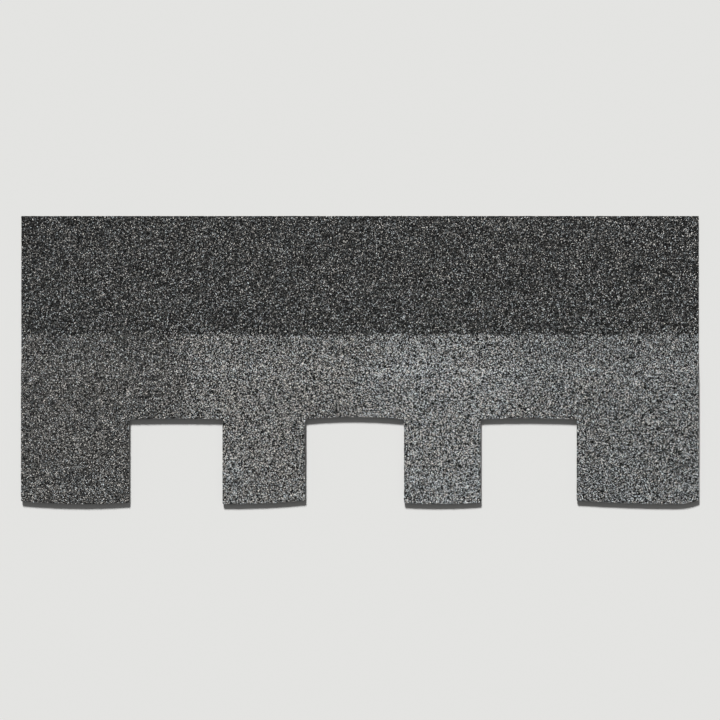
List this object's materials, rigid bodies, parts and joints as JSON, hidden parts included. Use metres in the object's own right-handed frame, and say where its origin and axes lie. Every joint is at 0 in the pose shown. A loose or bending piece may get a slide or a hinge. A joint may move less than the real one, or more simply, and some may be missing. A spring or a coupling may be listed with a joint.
{
  "type": "laminated asphalt shingle",
  "caption": "Shake-look laminated asphalt roofing shingle: one granule-faced strip whose square tabs, uneven in width, hang between open cut-outs over a tabbed backing.",
  "frame": {"origin": "under the middle of the strip, at the centre of the base of its bounding box", "axes": "+X along the strip, +Y up the roof's slope from the butt edge to the head edge, +Z out of the granule face"},
  "size_m": [1.016, 0.432, 0.006],
  "materials": {
    "granules": "mineral granules in mixed greys, pressed into asphalt",
    "asphalt_back": "asphalt-coated glass mat dusted with fine mineral",
    "sealant": "smooth black thermoplastic sealant",
    "film": "thin release film over black asphalt"
  },
  "bodies": {
    "root": {"top_sheet": "granules", "backing_sheet": "asphalt_back", "sealant_1": "sealant", "sealant_2": "sealant", "sealant_3": "sealant", "sealant_4": "sealant", "release_film": "film"}
  },
  "joints": []
}
